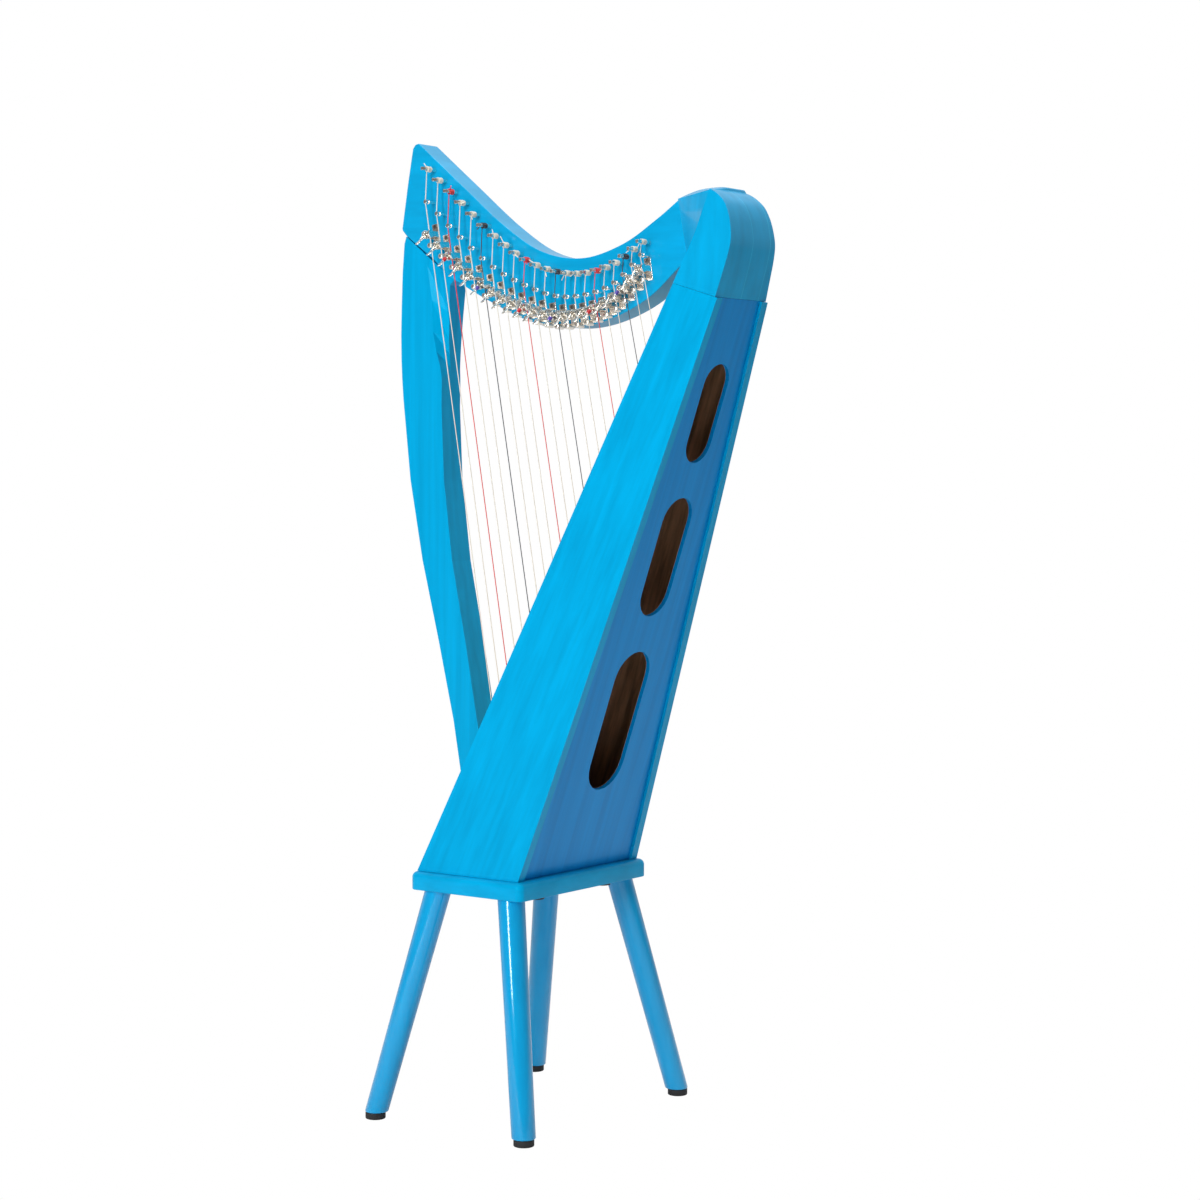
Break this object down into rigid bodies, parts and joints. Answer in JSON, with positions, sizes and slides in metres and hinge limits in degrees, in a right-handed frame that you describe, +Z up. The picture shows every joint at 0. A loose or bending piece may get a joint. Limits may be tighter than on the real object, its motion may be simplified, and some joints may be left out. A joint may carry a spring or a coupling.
{
  "type": "harp",
  "caption": "Small upright lever harp on a four-legged base, with a leaning soundbox, curved neck and pillar, strings, tuning pins and sharping levers.",
  "frame": {"origin": "on the floor, under the middle of the whole harp's bounding box", "axes": "+Z up, +X from the pillar to the back of the soundbox, strings, levers and pins on the -Y side"},
  "size_m": [0.5218, 0.3446, 1.1869],
  "materials": {
    "blue_lacquer": "gloss blue lacquer",
    "spruce": "satin",
    "nickel": "satin nickel",
    "string": "satin",
    "black_rubber": "matt"
  },
  "bodies": {
    "frame": {"back_panel": "blue_lacquer", "base_plate": "blue_lacquer", "foot_front_left": "black_rubber", "foot_front_right": "black_rubber", "foot_rear_left": "black_rubber", "foot_rear_right": "black_rubber", "leg_front_left": "blue_lacquer", "leg_front_right": "blue_lacquer", "leg_rear_left": "blue_lacquer", "leg_rear_right": "blue_lacquer", "neck": "blue_lacquer", "pillar": "blue_lacquer", "side_left": "blue_lacquer", "side_right": "blue_lacquer", "soundboard": "spruce", "strings": "string"},
    "tuning_pin_01_body": {"tuning_pin_01": "nickel"},
    "tuning_pin_02_body": {"tuning_pin_02": "nickel"},
    "tuning_pin_03_body": {"tuning_pin_03": "nickel"},
    "tuning_pin_04_body": {"tuning_pin_04": "nickel"},
    "tuning_pin_05_body": {"tuning_pin_05": "nickel"},
    "tuning_pin_06_body": {"tuning_pin_06": "nickel"},
    "tuning_pin_07_body": {"tuning_pin_07": "nickel"},
    "tuning_pin_08_body": {"tuning_pin_08": "nickel"},
    "tuning_pin_09_body": {"tuning_pin_09": "nickel"},
    "tuning_pin_10_body": {"tuning_pin_10": "nickel"},
    "tuning_pin_11_body": {"tuning_pin_11": "nickel"},
    "tuning_pin_12_body": {"tuning_pin_12": "nickel"},
    "tuning_pin_13_body": {"tuning_pin_13": "nickel"},
    "tuning_pin_14_body": {"tuning_pin_14": "nickel"},
    "tuning_pin_15_body": {"tuning_pin_15": "nickel"},
    "tuning_pin_16_body": {"tuning_pin_16": "nickel"},
    "tuning_pin_17_body": {"tuning_pin_17": "nickel"},
    "tuning_pin_18_body": {"tuning_pin_18": "nickel"},
    "tuning_pin_19_body": {"tuning_pin_19": "nickel"},
    "tuning_pin_20_body": {"tuning_pin_20": "nickel"},
    "tuning_pin_21_body": {"tuning_pin_21": "nickel"},
    "tuning_pin_22_body": {"tuning_pin_22": "nickel"},
    "lever_01_body": {"lever_01": "nickel"},
    "lever_02_body": {"lever_02": "nickel"},
    "lever_03_body": {"lever_03": "nickel"},
    "lever_04_body": {"lever_04": "nickel"},
    "lever_05_body": {"lever_05": "nickel"},
    "lever_06_body": {"lever_06": "nickel"},
    "lever_07_body": {"lever_07": "nickel"},
    "lever_08_body": {"lever_08": "nickel"},
    "lever_09_body": {"lever_09": "nickel"},
    "lever_10_body": {"lever_10": "nickel"},
    "lever_11_body": {"lever_11": "nickel"},
    "lever_12_body": {"lever_12": "nickel"},
    "lever_13_body": {"lever_13": "nickel"},
    "lever_14_body": {"lever_14": "nickel"},
    "lever_15_body": {"lever_15": "nickel"},
    "lever_16_body": {"lever_16": "nickel"},
    "lever_17_body": {"lever_17": "nickel"},
    "lever_18_body": {"lever_18": "nickel"},
    "lever_19_body": {"lever_19": "nickel"},
    "lever_20_body": {"lever_20": "nickel"},
    "lever_21_body": {"lever_21": "nickel"},
    "lever_22_body": {"lever_22": "nickel"}
  },
  "joints": [
    {"name": "tuning_pin_01_turn", "type": "hinge", "parent": "frame", "child": "tuning_pin_01_body", "pos_m": [-0.20689, 0, 1.1522], "axis": [0, -1, 0], "continuous": true},
    {"name": "tuning_pin_02_turn", "type": "hinge", "parent": "frame", "child": "tuning_pin_02_body", "pos_m": [-0.1892, 0, 1.13741], "axis": [0, -1, 0], "continuous": true},
    {"name": "tuning_pin_03_turn", "type": "hinge", "parent": "frame", "child": "tuning_pin_03_body", "pos_m": [-0.17156, 0, 1.12262], "axis": [0, -1, 0], "continuous": true},
    {"name": "tuning_pin_04_turn", "type": "hinge", "parent": "frame", "child": "tuning_pin_04_body", "pos_m": [-0.15409, 0, 1.108], "axis": [0, -1, 0], "continuous": true},
    {"name": "tuning_pin_05_turn", "type": "hinge", "parent": "frame", "child": "tuning_pin_05_body", "pos_m": [-0.1368, 0, 1.09322], "axis": [0, -1, 0], "continuous": true},
    {"name": "tuning_pin_06_turn", "type": "hinge", "parent": "frame", "child": "tuning_pin_06_body", "pos_m": [-0.11968, 0, 1.07861], "axis": [0, -1, 0], "continuous": true},
    {"name": "tuning_pin_07_turn", "type": "hinge", "parent": "frame", "child": "tuning_pin_07_body", "pos_m": [-0.10287, 0, 1.0653], "axis": [0, -1, 0], "continuous": true},
    {"name": "tuning_pin_08_turn", "type": "hinge", "parent": "frame", "child": "tuning_pin_08_body", "pos_m": [-0.08643, 0, 1.05354], "axis": [0, -1, 0], "continuous": true},
    {"name": "tuning_pin_09_turn", "type": "hinge", "parent": "frame", "child": "tuning_pin_09_body", "pos_m": [-0.07029, 0, 1.04309], "axis": [0, -1, 0], "continuous": true},
    {"name": "tuning_pin_10_turn", "type": "hinge", "parent": "frame", "child": "tuning_pin_10_body", "pos_m": [-0.05436, 0, 1.0343], "axis": [0, -1, 0], "continuous": true},
    {"name": "tuning_pin_11_turn", "type": "hinge", "parent": "frame", "child": "tuning_pin_11_body", "pos_m": [-0.03855, 0, 1.02737], "axis": [0, -1, 0], "continuous": true},
    {"name": "tuning_pin_12_turn", "type": "hinge", "parent": "frame", "child": "tuning_pin_12_body", "pos_m": [-0.02294, 0, 1.02211], "axis": [0, -1, 0], "continuous": true},
    {"name": "tuning_pin_13_turn", "type": "hinge", "parent": "frame", "child": "tuning_pin_13_body", "pos_m": [-0.00763, 0, 1.0183], "axis": [0, -1, 0], "continuous": true},
    {"name": "tuning_pin_14_turn", "type": "hinge", "parent": "frame", "child": "tuning_pin_14_body", "pos_m": [0.00732, 0, 1.01585], "axis": [0, -1, 0], "continuous": true},
    {"name": "tuning_pin_15_turn", "type": "hinge", "parent": "frame", "child": "tuning_pin_15_body", "pos_m": [0.02198, 0, 1.01484], "axis": [0, -1, 0], "continuous": true},
    {"name": "tuning_pin_16_turn", "type": "hinge", "parent": "frame", "child": "tuning_pin_16_body", "pos_m": [0.03638, 0, 1.0153], "axis": [0, -1, 0], "continuous": true},
    {"name": "tuning_pin_17_turn", "type": "hinge", "parent": "frame", "child": "tuning_pin_17_body", "pos_m": [0.05058, 0, 1.01726], "axis": [0, -1, 0], "continuous": true},
    {"name": "tuning_pin_18_turn", "type": "hinge", "parent": "frame", "child": "tuning_pin_18_body", "pos_m": [0.06453, 0, 1.02068], "axis": [0, -1, 0], "continuous": true},
    {"name": "tuning_pin_19_turn", "type": "hinge", "parent": "frame", "child": "tuning_pin_19_body", "pos_m": [0.07812, 0, 1.0255], "axis": [0, -1, 0], "continuous": true},
    {"name": "tuning_pin_20_turn", "type": "hinge", "parent": "frame", "child": "tuning_pin_20_body", "pos_m": [0.09121, 0, 1.03217], "axis": [0, -1, 0], "continuous": true},
    {"name": "tuning_pin_21_turn", "type": "hinge", "parent": "frame", "child": "tuning_pin_21_body", "pos_m": [0.10393, 0, 1.04023], "axis": [0, -1, 0], "continuous": true},
    {"name": "tuning_pin_22_turn", "type": "hinge", "parent": "frame", "child": "tuning_pin_22_body", "pos_m": [0.11661, 0, 1.0483], "axis": [0, -1, 0], "continuous": true},
    {"name": "lever_01_flip", "type": "hinge", "parent": "frame", "child": "lever_01_body", "pos_m": [-0.20339, -0.0164, 1.0719], "axis": [-0.9882, 0, -0.1532], "range_deg": [0, 90]},
    {"name": "lever_02_flip", "type": "hinge", "parent": "frame", "child": "lever_02_body", "pos_m": [-0.18596, -0.0164, 1.05796], "axis": [-0.9882, 0, -0.1532], "range_deg": [0, 90]},
    {"name": "lever_03_flip", "type": "hinge", "parent": "frame", "child": "lever_03_body", "pos_m": [-0.16856, -0.0164, 1.04403], "axis": [-0.9882, 0, -0.1532], "range_deg": [0, 90]},
    {"name": "lever_04_flip", "type": "hinge", "parent": "frame", "child": "lever_04_body", "pos_m": [-0.15134, -0.0164, 1.0309], "axis": [-0.9882, 0, -0.1532], "range_deg": [0, 90]},
    {"name": "lever_05_flip", "type": "hinge", "parent": "frame", "child": "lever_05_body", "pos_m": [-0.13429, -0.0164, 1.01858], "axis": [-0.9882, 0, -0.1532], "range_deg": [0, 90]},
    {"name": "lever_06_flip", "type": "hinge", "parent": "frame", "child": "lever_06_body", "pos_m": [-0.11741, -0.0164, 1.00708], "axis": [-0.9882, 0, -0.1532], "range_deg": [0, 90]},
    {"name": "lever_07_flip", "type": "hinge", "parent": "frame", "child": "lever_07_body", "pos_m": [-0.10082, -0.0164, 0.99715], "axis": [-0.9882, 0, -0.1532], "range_deg": [0, 90]},
    {"name": "lever_08_flip", "type": "hinge", "parent": "frame", "child": "lever_08_body", "pos_m": [-0.08459, -0.0164, 0.98929], "axis": [-0.9882, 0, -0.1532], "range_deg": [0, 90]},
    {"name": "lever_09_flip", "type": "hinge", "parent": "frame", "child": "lever_09_body", "pos_m": [-0.06866, -0.0164, 0.983], "axis": [-0.9882, 0, -0.1532], "range_deg": [0, 90]},
    {"name": "lever_10_flip", "type": "hinge", "parent": "frame", "child": "lever_10_body", "pos_m": [-0.05291, -0.0164, 0.97766], "axis": [-0.9882, 0, -0.1532], "range_deg": [0, 90]},
    {"name": "lever_11_flip", "type": "hinge", "parent": "frame", "child": "lever_11_body", "pos_m": [-0.03729, -0.0164, 0.97284], "axis": [-0.9882, 0, -0.1532], "range_deg": [0, 90]},
    {"name": "lever_12_flip", "type": "hinge", "parent": "frame", "child": "lever_12_body", "pos_m": [-0.02186, -0.0164, 0.96897], "axis": [-0.9882, 0, -0.1532], "range_deg": [0, 90]},
    {"name": "lever_13_flip", "type": "hinge", "parent": "frame", "child": "lever_13_body", "pos_m": [-0.00673, -0.0164, 0.96668], "axis": [-0.9882, 0, -0.1532], "range_deg": [0, 90]},
    {"name": "lever_14_flip", "type": "hinge", "parent": "frame", "child": "lever_14_body", "pos_m": [0.00807, -0.0164, 0.96629], "axis": [-0.9882, 0, -0.1532], "range_deg": [0, 90]},
    {"name": "lever_15_flip", "type": "hinge", "parent": "frame", "child": "lever_15_body", "pos_m": [0.02258, -0.0164, 0.96748], "axis": [-0.9882, 0, -0.1532], "range_deg": [0, 90]},
    {"name": "lever_16_flip", "type": "hinge", "parent": "frame", "child": "lever_16_body", "pos_m": [0.03685, -0.0164, 0.96995], "axis": [-0.9882, 0, -0.1532], "range_deg": [0, 90]},
    {"name": "lever_17_flip", "type": "hinge", "parent": "frame", "child": "lever_17_body", "pos_m": [0.05092, -0.0164, 0.97336], "axis": [-0.9882, 0, -0.1532], "range_deg": [0, 90]},
    {"name": "lever_18_flip", "type": "hinge", "parent": "frame", "child": "lever_18_body", "pos_m": [0.06475, -0.0164, 0.97805], "axis": [-0.9882, 0, -0.1532], "range_deg": [0, 90]},
    {"name": "lever_19_flip", "type": "hinge", "parent": "frame", "child": "lever_19_body", "pos_m": [0.07823, -0.0164, 0.98469], "axis": [-0.9882, 0, -0.1532], "range_deg": [0, 90]},
    {"name": "lever_20_flip", "type": "hinge", "parent": "frame", "child": "lever_20_body", "pos_m": [0.09123, -0.0164, 0.99417], "axis": [-0.9882, 0, -0.1532], "range_deg": [0, 90]},
    {"name": "lever_21_flip", "type": "hinge", "parent": "frame", "child": "lever_21_body", "pos_m": [0.10388, -0.0164, 1.00561], "axis": [-0.9882, 0, -0.1532], "range_deg": [0, 90]},
    {"name": "lever_22_flip", "type": "hinge", "parent": "frame", "child": "lever_22_body", "pos_m": [0.11649, -0.0164, 1.01704], "axis": [-0.9882, 0, -0.1532], "range_deg": [0, 90]}
  ]
}
